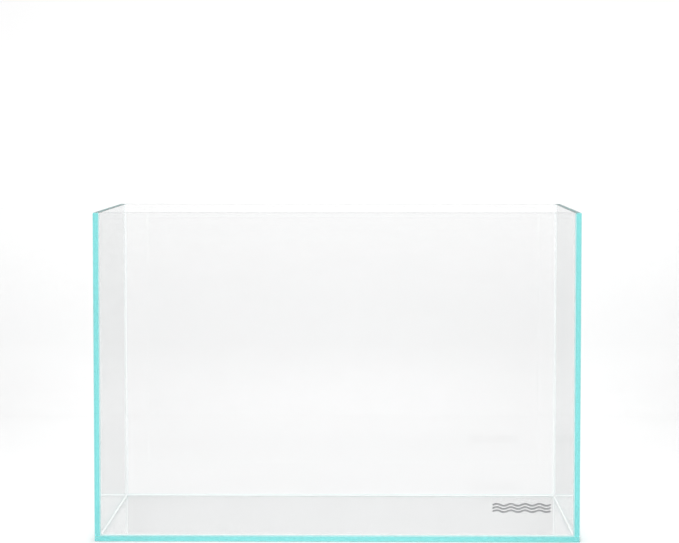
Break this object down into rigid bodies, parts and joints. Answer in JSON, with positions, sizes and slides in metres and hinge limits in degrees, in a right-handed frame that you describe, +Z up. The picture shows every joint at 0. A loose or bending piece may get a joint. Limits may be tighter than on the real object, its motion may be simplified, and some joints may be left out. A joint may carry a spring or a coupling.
{
  "type": "glass aquarium tank",
  "caption": "Rimless, open-topped rectangular aquarium tank of clear glass panes, bonded at the edges with clear silicone, with a small chrome ripple badge on the front.",
  "frame": {"origin": "on the ground, under the middle of the tank", "axes": "+X to the viewer's right when facing the front pane, +Y from the front pane to the back pane, +Z up"},
  "size_m": [0.45, 0.2704, 0.305],
  "materials": {
    "clear_glass": "polished low-iron float glass",
    "clear_silicone": "smooth translucent sealant",
    "badge_chrome": "polished dark chrome"
  },
  "bodies": {
    "root": {"base_pane": "clear_glass", "front_pane": "clear_glass", "back_pane": "clear_glass", "left_pane": "clear_glass", "right_pane": "clear_glass", "front_left_seam": "clear_silicone", "front_right_seam": "clear_silicone", "back_left_seam": "clear_silicone", "back_right_seam": "clear_silicone", "front_base_seam": "clear_silicone", "back_base_seam": "clear_silicone", "left_base_seam": "clear_silicone", "right_base_seam": "clear_silicone", "badge": "badge_chrome"}
  },
  "joints": []
}
